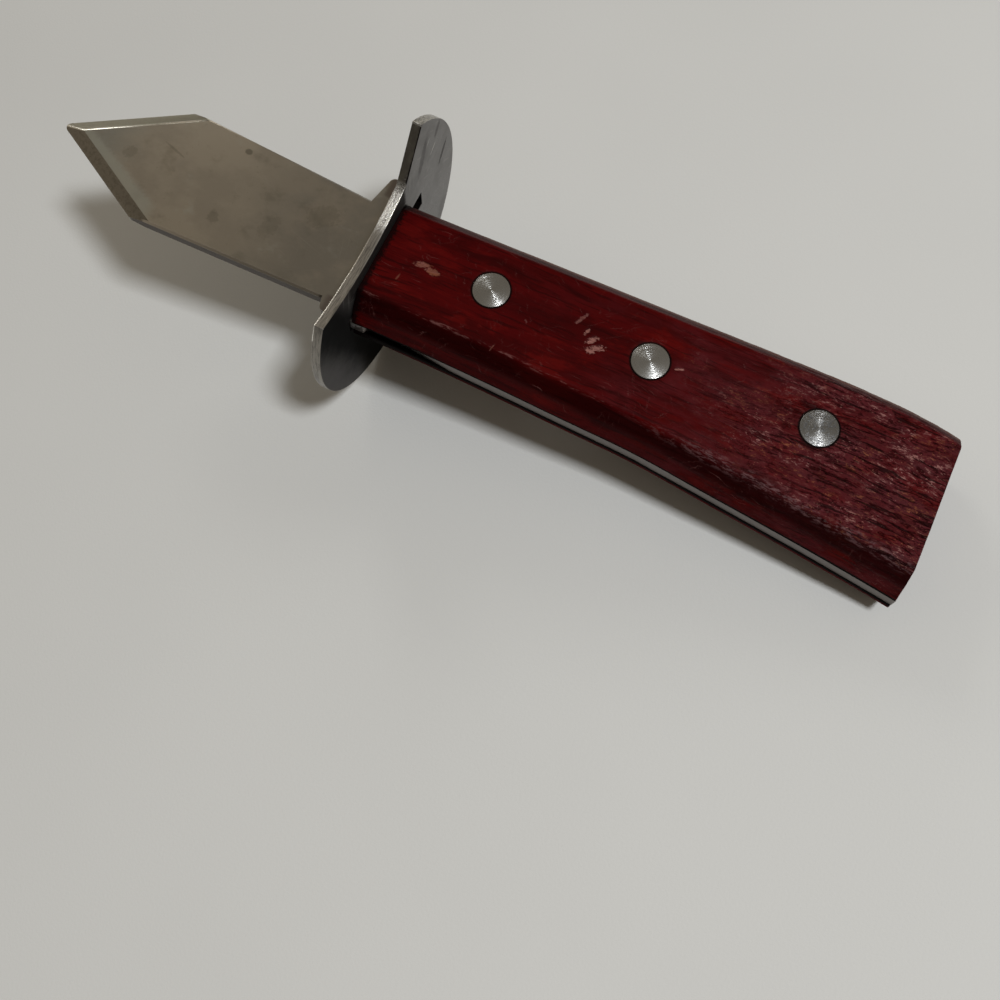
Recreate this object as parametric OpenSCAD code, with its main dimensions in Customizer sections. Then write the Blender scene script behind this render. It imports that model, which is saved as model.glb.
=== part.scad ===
// Oyster knife: a full-tang blade plate, a disc guard, two wooden scales and three two-part rivets.
// Worked out lying flat, along X from the guard's front face, and then set down as it rests:
// on the guard's rim and the lower edge of the butt.

/* [Blade plate] */
// thickness of the steel plate
plate_t = 2.8; // [2:0.1:4]
// from the guard's front face to the rounded tip
blade_length = 65.2; // [45:0.1:90]
// length of the pointed end, from the shoulders to the tip
point_length = 20.5; // [14:0.1:28]
// width just in front of the ears
root_width = 21.3; // [16:0.1:24]
// width across the shoulders, where the point starts
shoulder_width = 24.3; // [18:0.1:28]
// sideways shift of the blade's middle at the ears
root_shift = -0.4; // [-2:0.1:2]
// sideways shift of the blade's middle at the shoulders
shoulder_shift = 1; // [-2:0.1:2]
// sideways shift of the tip
tip_shift = 0.8; // [-2:0.1:2]
// radius of the rounded tip
tip_radius = 1; // [0.6:0.1:3]
// width of the ground bevel along the two edges of the point
bevel_width = 2.4; // [1:0.1:4]
// thickness left at the ground edge
edge_t = 0.7; // [0.3:0.1:1.5]
// small chamfer along the straight edges of the blade
edge_break = 0.4; // [0.1:0.1:0.8]
// width across the ears that stop the guard
ear_width = 32; // [29:0.1:36]
// length of the ears in front of the guard, at their ends
ear_length = 4.2; // [3:0.1:7]
// how much longer the ears are where they meet the blade
ear_slant = 1.4; // [0:0.1:3]

/* [Guard] */
// diameter of the disc
guard_diameter = 52.3; // [42:0.1:60]
// thickness of the disc
guard_t = 1.8; // [1.2:0.1:3]
// sideways shift of the disc's centre
guard_shift = 2.1; // [-2:0.1:3]
// how far the disc's centre lies below the blade's middle
guard_drop = 1.2; // [0:0.1:3]
// how far the disc leans back towards the handle, in degrees
guard_lean = 2; // [0:0.1:4]
// height of the cut's lowest place above the blade's middle
cut_height = 9.5; // [8:0.1:12]
// sideways place of the cut's lowest place
cut_bend = -3; // [-8:0.1:0]
// radius of the cut's long hollow curve
cut_radius = 56; // [45:1:90]
// sideways place of the corner where the steep part begins
cut_corner = 10.1; // [6:0.1:12]
// steepness of the steep part, in degrees
cut_angle = 51.5; // [30:0.5:75]
// gap between slot and tang, above and below
slot_gap = 0.5; // [0.2:0.1:0.6]
// gap at the near end of the slot
slot_end_gap = 0.4; // [0.2:0.1:1]
// gap at the far end of the slot, which shows beside the handle
slot_far_gap = 3.3; // [0.2:0.1:3.6]

/* [Handle] */
// from the guard's front face to the butt
handle_reach = 105.6; // [85:0.1:125]
// thickness over both scales
handle_t = 15; // [12:0.1:20]
// near side of the handle at the guard
near_root = 13.1; // [10:0.1:14]
// how much further out the near side is at the butt
near_flare = 7; // [2:0.1:9]
// how late the near side flares
near_curve = 2.05; // [1:0.05:3]
// how far the tang's near edge lies behind the wood
tang_recess = 0.1; // [0:0.1:0.8]
// far side of the handle at the guard
far_root = 11.9; // [10:0.1:14]
// rise of the far side along the handle
far_rise = 1.3; // [0:0.1:3]
// how far the far side turns in at the butt
far_turn = 2.2; // [0:0.1:4]
// how late the far side turns in
far_curve = 12; // [4:1:16]
// width of the sloping side of a scale, from the flat face to the tang
slope_width = 4; // [2:0.1:6]
// share of that width that the upper, flatter part of the slope takes
slope_break = 0.6; // [0.5:0.01:0.9]
// depth of the upper, flatter part of the slope
slope_depth = 2.5; // [1:0.1:3.5]
// gap between the guard and the scales
scale_gap = 0.2; // [0:0.1:0.6]

/* [Rivets] */
// distance from the guard's front face to the first rivet
rivet_first = 23.3; // [18:0.1:30]
// distance between rivets
rivet_pitch = 29.95; // [24:0.05:34]
// sideways shift of the two outer rivets
rivet_shift = 0.2; // [-2:0.1:2]
// sideways shift of the middle rivet
middle_shift = -0.5; // [-2:0.1:2]
// diameter of the flush head
head_diameter = 6.6; // [5.6:0.1:8]
// thickness of the head
head_t = 1.6; // [1:0.1:2]
// outer diameter of the tube half
tube_diameter = 4.2; // [3.8:0.1:4.8]
// diameter of the pin half
pin_diameter = 2.6; // [2:0.1:3]
// gap all round a head in its wood
head_gap = 0.1; // [0.05:0.05:0.2]
// gap all round the tube in wood and tang
tube_gap = 0.1; // [0.05:0.05:0.2]
// gap all round the pin in its tube
pin_gap = 0.03; // [0.02:0.01:0.1]
// gap left at the ends of tube and pin
end_gap = 0.4; // [0.2:0.1:1]

/* [Hidden] */
$fn = 96;
plate_half = plate_t / 2;
handle_half = handle_t / 2;
guard_r = guard_diameter / 2;
guard_reach = guard_r + guard_drop;
ear_half = ear_width / 2;
shoulder_x = point_length - blade_length;
scale_t = handle_half - plate_half;
far_reach = 400;
spare = 1;

// the point's outline before its tip is rounded
half_tip_angle = atan((shoulder_width / 2) / point_length);
sharp_x = -blade_length - tip_radius * (1 / sin(half_tip_angle) - 1);
tip_centre_x = -blade_length + tip_radius;
tip_point = [sharp_x, tip_shift];
shoulder_far = [shoulder_x, shoulder_shift + shoulder_width / 2];
shoulder_near = [shoulder_x, shoulder_shift - shoulder_width / 2];
root_x = -ear_length - ear_slant;
root_far = [root_x, root_shift + root_width / 2];
root_near = [root_x, root_shift - root_width / 2];

// the ground bevel falls from the plate's face to the edge
bevel_drop = plate_half - edge_t / 2;
bevel_runout = 3 * bevel_width;

// the leaning disc meets the ears at their lower edge, and its rim's foot is behind and below
guard_front = plate_half * tan(guard_lean);
scale_start = guard_front + guard_t / cos(guard_lean) + handle_half * tan(guard_lean) + scale_gap;
foot_x = guard_front + guard_t * cos(guard_lean) - guard_reach * sin(guard_lean);
foot_depth = guard_t * sin(guard_lean) + guard_reach * cos(guard_lean);

// the cut's long hollow curve, from beyond the near rim to the corner
cut_steps = 14;
cut_from = -asin(guard_r / cut_radius);
cut_to = asin((cut_corner - cut_bend) / cut_radius);
function cut_turn(i) = cut_from + (cut_to - cut_from) * i / cut_steps;
function cut_point(turn) = [cut_bend + cut_radius * sin(turn), cut_height + cut_radius * (1 - cos(turn))];
cut_curve = [for (i = [0:cut_steps]) cut_point(cut_turn(i))];
cut_start = cut_curve[0];
cut_end = cut_curve[cut_steps];

// the handle's two sides, from the guard (0) to the butt (1)
stations = 28;
first_station = -0.1;
last_station = 1.1;
function station(i) = first_station + (last_station - first_station) * i / stations;
function along(s) = max(s, 0);
function near_side(s) = -near_root - near_flare * pow(along(s), near_curve);
function far_side(s) = far_root + far_rise * s - far_turn * pow(along(s), far_curve);
near_line = [for (i = [0:stations]) [station(i) * handle_reach, near_side(station(i))]];
tang_line = [for (point = near_line) [point[0], point[1] + tang_recess]];
far_line = [for (i = [stations:-1:0]) [station(i) * handle_reach, far_side(station(i))]];

// one scale's section, as steps inwards and heights, run on past both faces
upper_rise = slope_depth / (slope_width * slope_break);
lower_rise = (scale_t - slope_depth) / (slope_width * (1 - slope_break));
section = [
    [-spare / lower_rise, plate_half - spare],
    [slope_width * (1 - slope_break), handle_half - slope_depth],
    [slope_width + spare / upper_rise, handle_half + spare]
];
levels = len(section);
ring_size = 2 * levels;
scale_points = [
    for (i = [0:stations], k = [0:ring_size - 1])
        k < levels
            ? [near_line[i][0], near_line[i][1] + section[k][0], section[k][1]]
            : [near_line[i][0], far_side(station(i)) - section[ring_size - 1 - k][0], section[ring_size - 1 - k][1]]
];
scale_faces = concat(
    [[for (k = [ring_size - 1:-1:0]) k]],
    [[for (k = [0:ring_size - 1]) stations * ring_size + k]],
    [
        for (i = [0:stations - 1], k = [0:ring_size - 1])
            [
                i * ring_size + k,
                i * ring_size + (k + 1) % ring_size,
                (i + 1) * ring_size + (k + 1) % ring_size,
                (i + 1) * ring_size + k
            ]
    ]
);

// the rivets' places, and the lengths of their two halves
rivet_spots = [
    [rivet_first, rivet_shift],
    [rivet_first + rivet_pitch, middle_shift],
    [rivet_first + 2 * rivet_pitch, rivet_shift]
];
head_seat = handle_half - head_t;

// the pose at rest, on the guard's rim and the butt's lower edge
rest_angle = atan((foot_depth - handle_half) / (handle_reach - foot_x));
rest_height = foot_x * sin(rest_angle) + foot_depth * cos(rest_angle);
front_end = -blade_length * cos(rest_angle) - edge_t / 2 * sin(rest_angle);
back_end = handle_reach * cos(rest_angle) + handle_half * sin(rest_angle);
middle_x = (front_end + back_end) / 2;

module at_rest() {
    translate([-middle_x, -guard_shift, rest_height])
        rotate([0, rest_angle, 0])
            children();
}

module blade_outline() {
    difference() {
        polygon([
            tip_point, shoulder_far, root_far, [-ear_length, ear_half], [0, ear_half],
            [0, -ear_half], [-ear_length, -ear_half], root_near, shoulder_near
        ]);
        translate([tip_centre_x - far_reach, -far_reach / 2])
            square([far_reach - tip_radius * sin(half_tip_angle), far_reach]);
    }
}

module tang_outline() {
    intersection() {
        polygon(concat(tang_line, far_line));
        translate([-spare, -far_reach / 2])
            square([handle_reach + spare, far_reach]);
    }
}

module blade() {
    color([0.5, 0.51, 0.47])
        at_rest()
            blade_plate();
}

module blade_plate() {
    difference() {
        translate([0, 0, -plate_half]) {
            linear_extrude(plate_t)
                blade_outline();
            linear_extrude(plate_t)
                tang_outline();
            translate([tip_centre_x, tip_shift, 0])
                cylinder(r = tip_radius, h = plate_t);
        }
        rivet_holes(tube_diameter + 2 * tube_gap);
        blade_grinds();
    }
}

// wedges along an edge of the blade, as triangles run along the edge
module grind(a, b, width, drop, before, after) {
    run = b - a;
    translate([a[0], a[1], 0])
        rotate([0, 0, atan2(run[1], run[0])])
            translate([-before, 0, 0])
                rotate([90, 0, 90])
                    linear_extrude(norm(run) + before + after)
                        both_wedges(width, drop);
}

module both_wedges(width, drop) {
    wedge(width, drop);
    mirror([0, 1])
        wedge(width, drop);
}

module wedge(width, drop) {
    polygon([
        [-spare, plate_half - drop - spare * drop / width],
        [width + spare, plate_half + spare * drop / width],
        [-spare, plate_t + drop]
    ]);
}

module blade_grinds() {
    grind(tip_point, shoulder_near, bevel_width, bevel_drop, tip_radius, bevel_runout);
    mirror([0, 1, 0])
        grind(flip(tip_point), flip(shoulder_far), bevel_width, bevel_drop, tip_radius, bevel_runout);
    grind(shoulder_near, root_near, edge_break, edge_break, 0, 0);
    mirror([0, 1, 0])
        grind(flip(shoulder_far), flip(root_far), edge_break, edge_break, 0, 0);
}

function flip(p) = [p[0], -p[1]];

module rivet_holes(width) {
    for (spot = rivet_spots)
        translate([spot[0], spot[1], -handle_half - spare])
            cylinder(d = width, h = handle_t + 2 * spare);
}

module guard() {
    color([0.62, 0.62, 0.6])
        at_rest()
            translate([guard_front, 0, 0])
                rotate([0, guard_lean, 0])
                    rotate([90, 0, 90])
                        linear_extrude(guard_t)
                            guard_outline();
}

// seen along the knife, with the far side to the right
module guard_outline() {
    slot_near = near_root - tang_recess + slot_end_gap;
    slot_far = far_side(guard_t / handle_reach) + slot_far_gap;
    difference() {
        translate([guard_shift, -guard_drop])
            circle(r = guard_r, $fn = 180);
        polygon(concat(
            [[cut_start[0], cut_start[1] + guard_diameter]],
            cut_curve,
            [[cut_end[0] + guard_diameter * cos(cut_angle), cut_end[1] + guard_diameter * sin(cut_angle)]]
        ));
        translate([-slot_near, -plate_half - slot_gap])
            square([slot_near + slot_far, plate_t + 2 * slot_gap]);
    }
}

// the upper scale, with stepped holes for the rivets
module scale_body() {
    difference() {
        intersection() {
            polyhedron(points = scale_points, faces = scale_faces);
            translate([scale_start, -far_reach / 2, plate_half])
                cube([handle_reach - scale_start, far_reach, scale_t]);
        }
        rivet_holes(tube_diameter + 2 * tube_gap);
        for (spot = rivet_spots)
            translate([spot[0], spot[1], head_seat])
                cylinder(d = head_diameter + 2 * head_gap, h = head_t + spare);
    }
}

module upper_scale() {
    color([0.36, 0.1, 0.09])
        at_rest()
            scale_body();
}

module lower_scale() {
    color([0.33, 0.09, 0.08])
        at_rest()
            mirror([0, 0, 1])
                scale_body();
}

// the half with the pin, let in from above
module rivet_pin(spot) {
    color([0.7, 0.7, 0.68])
        at_rest()
            translate([spot[0], spot[1], 0]) {
                translate([0, 0, head_seat])
                    cylinder(d = head_diameter, h = head_t);
                translate([0, 0, end_gap - head_seat])
                    cylinder(d = pin_diameter, h = 2 * head_seat - end_gap + head_t / 2);
            }
}

// the half with the tube, let in from below
module rivet_socket(spot) {
    color([0.66, 0.66, 0.64])
        at_rest()
            translate([spot[0], spot[1], -handle_half])
                difference() {
                    union() {
                        cylinder(d = head_diameter, h = head_t);
                        cylinder(d = tube_diameter, h = handle_t - head_t - end_gap);
                    }
                    translate([0, 0, head_t])
                        cylinder(d = pin_diameter + 2 * pin_gap, h = handle_t);
                }
}

blade();
guard();
upper_scale();
lower_scale();
rivet_pin(rivet_spots[0]);  // front_rivet_pin
rivet_socket(rivet_spots[0]);  // front_rivet_socket
rivet_pin(rivet_spots[1]);  // middle_rivet_pin
rivet_socket(rivet_spots[1]);  // middle_rivet_socket
rivet_pin(rivet_spots[2]);  // rear_rivet_pin
rivet_socket(rivet_spots[2]);  // rear_rivet_socket
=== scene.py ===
"""An oyster knife at rest: the finish of its blade plate, disc guard, wooden scales and rivets.

All lengths that describe the knife are in millimetres in the knife's own flat frame: X from the
guard's front face towards the butt, Y to the far side, Z up from the middle of the plate.
RestPose sets that frame down on the table, in metres, as the CAD frame has it.
"""

import logging
import math
from dataclasses import dataclass
from enum import Enum
from typing import Callable, Iterable

import bmesh
import bpy
from mathutils import Matrix, Vector, noise


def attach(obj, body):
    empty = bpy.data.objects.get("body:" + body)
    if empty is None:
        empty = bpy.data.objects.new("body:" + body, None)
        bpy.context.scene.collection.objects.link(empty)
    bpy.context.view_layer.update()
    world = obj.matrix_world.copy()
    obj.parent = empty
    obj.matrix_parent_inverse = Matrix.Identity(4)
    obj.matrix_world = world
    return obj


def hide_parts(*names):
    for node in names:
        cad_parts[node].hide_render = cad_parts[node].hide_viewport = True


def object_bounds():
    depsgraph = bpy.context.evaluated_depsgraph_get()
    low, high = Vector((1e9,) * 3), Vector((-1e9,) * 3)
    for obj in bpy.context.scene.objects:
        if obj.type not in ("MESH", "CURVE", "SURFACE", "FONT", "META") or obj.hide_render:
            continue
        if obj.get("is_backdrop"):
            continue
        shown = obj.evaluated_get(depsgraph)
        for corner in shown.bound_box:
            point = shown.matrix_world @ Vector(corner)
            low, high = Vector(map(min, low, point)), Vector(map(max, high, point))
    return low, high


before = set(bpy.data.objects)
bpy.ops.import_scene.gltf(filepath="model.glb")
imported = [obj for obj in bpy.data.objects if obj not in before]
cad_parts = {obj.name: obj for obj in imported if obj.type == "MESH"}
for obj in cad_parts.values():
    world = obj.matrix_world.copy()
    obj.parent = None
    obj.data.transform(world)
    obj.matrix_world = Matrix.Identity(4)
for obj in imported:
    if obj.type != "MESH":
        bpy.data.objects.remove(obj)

LOG = logging.getLogger("oyster_knife")
MM = 0.001

Colour = tuple[float, float, float]
Point = tuple[float, float, float]


class Slot(Enum):
    """The record's material slots."""

    BLADE = "blade_steel"
    GUARD = "guard_steel"
    WOOD = "handle_wood"
    RIVET = "rivet_metal"


class Side(Enum):
    """The face of the handle that a piece belongs to, as the sign of its Z."""

    UPPER = 1
    LOWER = -1


def clamped(value: float) -> float:
    """The value held between 0 and 1."""
    return min(max(value, 0.0), 1.0)


@dataclass(frozen=True)
class RestPose:
    """The knife lying on the guard's rim and the lower edge of the butt."""

    blade_length: float = 65.2
    handle_reach: float = 105.6
    handle_thickness: float = 15.0
    plate_thickness: float = 2.8
    guard_radius: float = 26.15
    guard_thickness: float = 1.8
    guard_shift: float = 2.1
    guard_drop: float = 1.2
    guard_lean: float = math.radians(2.0)
    edge_thickness: float = 0.7

    @property
    def guard_front(self) -> float:
        """Where the leaning disc's front face crosses the knife's axis, in millimetres."""
        return self.plate_thickness / 2 * math.tan(self.guard_lean)

    @property
    def foot(self) -> tuple[float, float]:
        """The X and the depth of the disc's lowest point in the flat frame, in millimetres.

        Returns:
            Its X, and its depth below the knife's axis.
        """
        reach = self.guard_radius + self.guard_drop
        across, down = math.sin(self.guard_lean), math.cos(self.guard_lean)
        return (
            self.guard_front + self.guard_thickness * down - reach * across,
            self.guard_thickness * across + reach * down,
        )

    @property
    def angle(self) -> float:
        """The knife's slope towards the butt, in radians."""
        foot_x, foot_depth = self.foot
        return math.atan((foot_depth - self.handle_thickness / 2) / (self.handle_reach - foot_x))

    @property
    def shift(self) -> Vector:
        """Where the flat frame's origin lies in the row frame, in millimetres.

        Returns:
            The place.
        """
        turn, half = self.angle, self.handle_thickness / 2
        foot_x, foot_depth = self.foot
        front = -self.blade_length * math.cos(turn) - self.edge_thickness / 2 * math.sin(turn)
        back = self.handle_reach * math.cos(turn) + half * math.sin(turn)
        height = foot_x * math.sin(turn) + foot_depth * math.cos(turn)
        return Vector((-(front + back) / 2, -self.guard_shift, height))

    @property
    def matrix(self) -> Matrix:
        """From the flat frame in metres to the row frame in metres."""
        return Matrix.Translation(self.shift * MM) @ Matrix.Rotation(self.angle, 4, "Y")


REST = RestPose()


@dataclass(frozen=True)
class HandleOutline:
    """The handle's two long sides, as the frame's solids have them."""

    start: float = 2.311892
    reach: float = 105.6
    near_root: float = 13.1
    near_flare: float = 7.0
    near_curve: float = 2.05
    far_root: float = 11.9
    far_rise: float = 1.3
    far_turn: float = 2.2
    far_curve: float = 12.0
    slope_width: float = 4.0
    half_thickness: float = 7.5
    plate_half: float = 1.4
    worn_middle: float = 57.0
    worn_reach: float = 10.0
    worn_width: float = 0.35
    slope_bend: tuple[float, float] = (1.6, 5.0)
    dent_depth: float = 0.95
    dent_ends: tuple[float, float] = (4.2, 22.0)
    dent_ramps: tuple[float, float] = (1.0, 13.0)
    bulge: float = 0.65

    def near(self, x: float) -> float:
        """The near side's Y at a distance x from the guard."""
        return -self.near_root - self.near_flare * max(x / self.reach, 0.0) ** self.near_curve

    def far(self, x: float) -> float:
        """The far side's Y at a distance x from the guard."""
        share = max(x / self.reach, 0.0)
        return self.far_root + self.far_rise * share - self.far_turn * share ** self.far_curve

    def worn(self, x: float, y: float) -> float:
        """How far the near side is rubbed in, by its distance along and across the handle."""
        side = clamped((-y - 6.0) / 5.0)
        return side * self.worn_width * math.exp(-(((x - self.worn_middle) / self.worn_reach) ** 2))

    def recess(self, x: float) -> float:
        """How far the tang's near edge is dented behind the wood, just behind the guard.

        Args:
            x: the distance from the guard.

        Returns:
            The dent's depth in millimetres.
        """
        rise = (x - self.dent_ends[0]) / self.dent_ramps[0]
        fall = (self.dent_ends[1] - x) / self.dent_ramps[1]
        return self.dent_depth * clamped(min(rise, fall))

    def section(self, along: float, soft: float) -> Vector:
        """A point of one side of a scale's section.

        Args:
            along: how far it is from the tang's edge, round the section.
            soft: how far its corners are rounded, to both sides.

        Returns:
            The step inwards from the tang's edge and the height.
        """
        corners = [Vector(point) for point in (
            (0.0, self.plate_half), self.slope_bend, (self.slope_width, self.half_thickness),
            (20.0, self.half_thickness),
        )]
        reach = min(soft, along)
        total = Vector((0.0, 0.0))
        for share in (-1.0, -0.5, 0.0, 0.5, 1.0):
            left = along + share * reach
            for first, second in zip(corners, corners[1:]):
                run = second - first
                if left <= run.length or second is corners[-1]:
                    total += first + run * (left / run.length)
                    break
                left -= run.length
        return total / 5

    def bulging(self, step: float, height: float) -> float:
        """How far the lower scale's near side stands out beyond the tang.

        Args:
            step: the distance inwards from the tang's edge.
            height: the distance from the middle of the plate.

        Returns:
            The bulge in millimetres.
        """
        rise = clamped((height - self.plate_half) / 0.7)
        fall = clamped((self.slope_bend[1] - height) / 2.6)
        return self.bulge * rise * fall * clamped((2.2 - step) / 1.2)


HANDLE = HandleOutline()


@dataclass(frozen=True)
class PointOutline:
    """The blade's pointed end, as the frame's solid has it."""

    tip: tuple[float, float] = (-66.16, 0.8)
    far_shoulder: tuple[float, float] = (-44.7, 13.15)
    near_shoulder: tuple[float, float] = (-44.7, -11.15)
    near_root: tuple[float, float] = (-5.6, -11.05)
    far_root: tuple[float, float] = (-5.6, 10.25)
    bevel_width: float = 2.4
    edge_break: float = 0.4

    def inward(self, front: tuple[float, float], back: tuple[float, float], far: bool,
               x: "Value", y: "Value") -> "Value":
        """The distance inwards from one straight edge.

        Args:
            front: the edge's end towards the tip.
            back: its other end.
            far: whether the edge is on the far side.
            x: the place along the knife.
            y: the place across it.

        Returns:
            The distance, as a shader value.
        """
        run = Vector((back[0] - front[0], back[1] - front[1])).normalized()
        across = Vector((-run.y, run.x)) * (-1.0 if far else 1.0)
        return x * across.x + y * across.y - (across.x * front[0] + across.y * front[1])


POINT = PointOutline()
RIVET_SPOTS = ((23.3, 0.2), (53.25, -0.5), (83.2, 0.2))


class Value:
    """A shader output that takes part in arithmetic; each operation adds a Math node."""

    def __init__(self, sheet: "NodeSheet", socket: bpy.types.NodeSocket) -> None:
        """Keeps the socket and the sheet that it is drawn on."""
        self.sheet = sheet
        self.socket = socket

    def _math(self, operation: str, *values: "Value | float") -> "Value":
        """Adds one Math node over the values."""
        return self.sheet.node("ShaderNodeMath", {"operation": operation}, dict(enumerate(values)))

    def __add__(self, other: "Value | float") -> "Value":
        """The sum."""
        return self._math("ADD", self, other)

    def __radd__(self, other: float) -> "Value":
        """The sum, number first."""
        return self._math("ADD", other, self)

    def __sub__(self, other: "Value | float") -> "Value":
        """The difference."""
        return self._math("SUBTRACT", self, other)

    def __rsub__(self, other: float) -> "Value":
        """The difference, number first."""
        return self._math("SUBTRACT", other, self)

    def __mul__(self, other: "Value | float") -> "Value":
        """The product."""
        return self._math("MULTIPLY", self, other)

    def __rmul__(self, other: float) -> "Value":
        """The product, number first."""
        return self._math("MULTIPLY", other, self)

    def __truediv__(self, other: "Value | float") -> "Value":
        """The quotient."""
        return self._math("DIVIDE", self, other)

    def __pow__(self, other: float) -> "Value":
        """The power."""
        return self._math("POWER", self, other)

    def absolute(self) -> "Value":
        """The value without its sign."""
        return self._math("ABSOLUTE", self)

    def most(self, other: "Value | float") -> "Value":
        """The larger of the two."""
        return self._math("MAXIMUM", self, other)

    def step(self, low: float, high: float) -> "Value":
        """A smooth mask.

        Args:
            low: where the mask is 0; it may be the larger number, for a falling mask.
            high: where the mask is 1.

        Returns:
            0 to 1.
        """
        settings = {"interpolation_type": "SMOOTHSTEP"}
        if low <= high:
            ends = {"From Min": low, "From Max": high, "To Min": 0.0, "To Max": 1.0}
        else:
            ends = {"From Min": high, "From Max": low, "To Min": 1.0, "To Max": 0.0}
        return self.sheet.node("ShaderNodeMapRange", settings, {"Value": self, **ends}, "Result")


class NodeSheet:
    """One node tree, with the few helpers that the finishes share."""

    def __init__(self, owner: "bpy.types.Material | bpy.types.World", output: str) -> None:
        """Clears the owner's node tree and gives it an output node.

        Args:
            owner: the material or world.
            output: the type of its output node.
        """
        owner.use_nodes = True
        self.owner = owner
        self.tree = owner.node_tree
        self.tree.nodes.clear()
        self.output = self.tree.nodes.new(output)

    @classmethod
    def of_material(cls, name: str) -> "NodeSheet":
        """A sheet for a new material of that name."""
        return cls(bpy.data.materials.new(name), "ShaderNodeOutputMaterial")

    @classmethod
    def of_world(cls, name: str) -> "NodeSheet":
        """A sheet for a new world of that name."""
        return cls(bpy.data.worlds.new(name), "ShaderNodeOutputWorld")

    def node(self, kind: str, settings: dict | None = None, inputs: dict | None = None,
             output: str | int = 0) -> Value:
        """Adds a node.

        Args:
            kind: the node's type.
            settings: its own settings, set before its sockets.
            inputs: socket name or number to a number, tuple, Value or socket.
            output: the output to return.

        Returns:
            The chosen output.
        """
        made = self.tree.nodes.new(kind)
        for name, value in (settings or {}).items():
            setattr(made, name, value)
        for name, value in (inputs or {}).items():
            if isinstance(value, Value):
                self.tree.links.new(value.socket, made.inputs[name])
            elif isinstance(value, bpy.types.NodeSocket):
                self.tree.links.new(value, made.inputs[name])
            elif isinstance(value, tuple) and made.inputs[name].type == "RGBA":
                made.inputs[name].default_value = (*value, 1.0)
            else:
                made.inputs[name].default_value = value
        return Value(self, made.outputs[output])

    def flat(self) -> Value:
        """The knife's flat frame in millimetres, as a vector.

        Returns:
            The vector.
        """
        place = self.node("ShaderNodeTexCoord", output="Object")
        inputs = {
            "Vector": place,
            "Location": tuple(REST.shift * MM),
            "Rotation": (0.0, REST.angle, 0.0),
            "Scale": (MM, MM, MM),
        }
        return self.node("ShaderNodeMapping", {"vector_type": "TEXTURE"}, inputs)

    def parts(self, vector: Value) -> tuple[Value, Value, Value]:
        """The X, Y and Z of a vector."""
        split = self.node("ShaderNodeSeparateXYZ", inputs={"Vector": vector}).socket.node
        return tuple(Value(self, split.outputs[axis]) for axis in ("X", "Y", "Z"))

    def vector(self, x: "Value | float", y: "Value | float", z: "Value | float") -> Value:
        """A vector of three values."""
        return self.node("ShaderNodeCombineXYZ", inputs={"X": x, "Y": y, "Z": z})

    def along(self, vector: Value, operation: str, other: "Value | tuple") -> Value:
        """A Vector Math node over a vector and another one."""
        return self.node("ShaderNodeVectorMath", {"operation": operation}, {0: vector, 1: other})

    def noise(self, place: Value, stretch: tuple[float, float, float], detail: float = 2.0,
              roughness: float = 0.5, shift: Point = (0.0, 0.0, 0.0)) -> Value:
        """Noise of about 0.5, stretched along the axes.

        Args:
            place: the vector that it reads.
            stretch: the number of features to a unit along each axis.
            detail: how many finer layers are added.
            roughness: the weight of the finer layers.
            shift: moves the pattern, so that two like noises differ.

        Returns:
            The noise's value.
        """
        moved = self.along(self.along(place, "MULTIPLY", stretch), "ADD", shift)
        inputs = {"Vector": moved, "Scale": 1.0, "Detail": detail, "Roughness": roughness}
        return self.node("ShaderNodeTexNoise", {"noise_dimensions": "3D"}, inputs)

    def turned(self, place: Value, degrees: float) -> Value:
        """The vector turned about Z, for patterns that run at an angle."""
        inputs = {"Vector": place, "Rotation": (0.0, 0.0, math.radians(degrees))}
        return self.node("ShaderNodeMapping", {"vector_type": "POINT"}, inputs)

    def mix(self, factor: "Value | float", first: "Value | Colour",
            second: "Value | Colour") -> Value:
        """A colour between two colours.

        Args:
            factor: 0 for the first, 1 for the second.
            first: a colour or its socket.
            second: a colour or its socket.

        Returns:
            The mixed colour.
        """
        made = self.tree.nodes.new("ShaderNodeMix")
        made.data_type = "RGBA"
        made.blend_type = "MIX"
        made.clamp_factor = True
        for number, value in ((0, factor), (6, first), (7, second)):
            if isinstance(value, Value):
                self.tree.links.new(value.socket, made.inputs[number])
            elif isinstance(value, tuple):
                made.inputs[number].default_value = (*value, 1.0)
            else:
                made.inputs[number].default_value = value
        return Value(self, made.outputs[2])

    def coats(self, colour: "Value | Colour",
              *layers: "tuple[Value | float, Value | Colour]") -> Value:
        """Lays colours over a first one, in order.

        Args:
            colour: the colour below.
            layers: each layer's mask and its colour.

        Returns:
            The colour that shows.
        """
        for mask, layer in layers:
            colour = self.mix(mask, colour, layer)
        return colour

    def length(self, vector: Value) -> Value:
        """The length of a vector."""
        return self.node("ShaderNodeVectorMath", {"operation": "LENGTH"}, {0: vector}, "Value")

    @staticmethod
    def strongest(masks: Iterable[Value]) -> "Value | float":
        """The largest of some masks, or 0 where there are none.

        Args:
            masks: the masks, each 0 to 1.

        Returns:
            The largest.
        """
        found: "Value | float" = 0.0
        for mask in masks:
            found = mask.most(found)
        return found

    def bump(self, height: Value, normal: "Value | None" = None) -> Value:
        """A normal from a height in millimetres.

        Args:
            height: the height.
            normal: the normal that it starts from, or None for the surface's own.

        Returns:
            The normal.
        """
        inputs = {"Height": height, "Distance": MM, "Strength": 1.0}
        if normal is not None:
            inputs["Normal"] = normal
        return self.node("ShaderNodeBump", inputs=inputs, output="Normal")

    def finish(self, **inputs: "Value | float | tuple") -> bpy.types.Material:
        """Joins a Principled shader to the output.

        Args:
            inputs: socket names, with _ for a blank, to their values.

        Returns:
            The material.
        """
        named = {name.replace("_", " "): value for name, value in inputs.items()}
        shader = self.node("ShaderNodeBsdfPrincipled", inputs=named, output="BSDF")
        self.tree.links.new(shader.socket, self.output.inputs["Surface"])
        return self.owner


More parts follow.
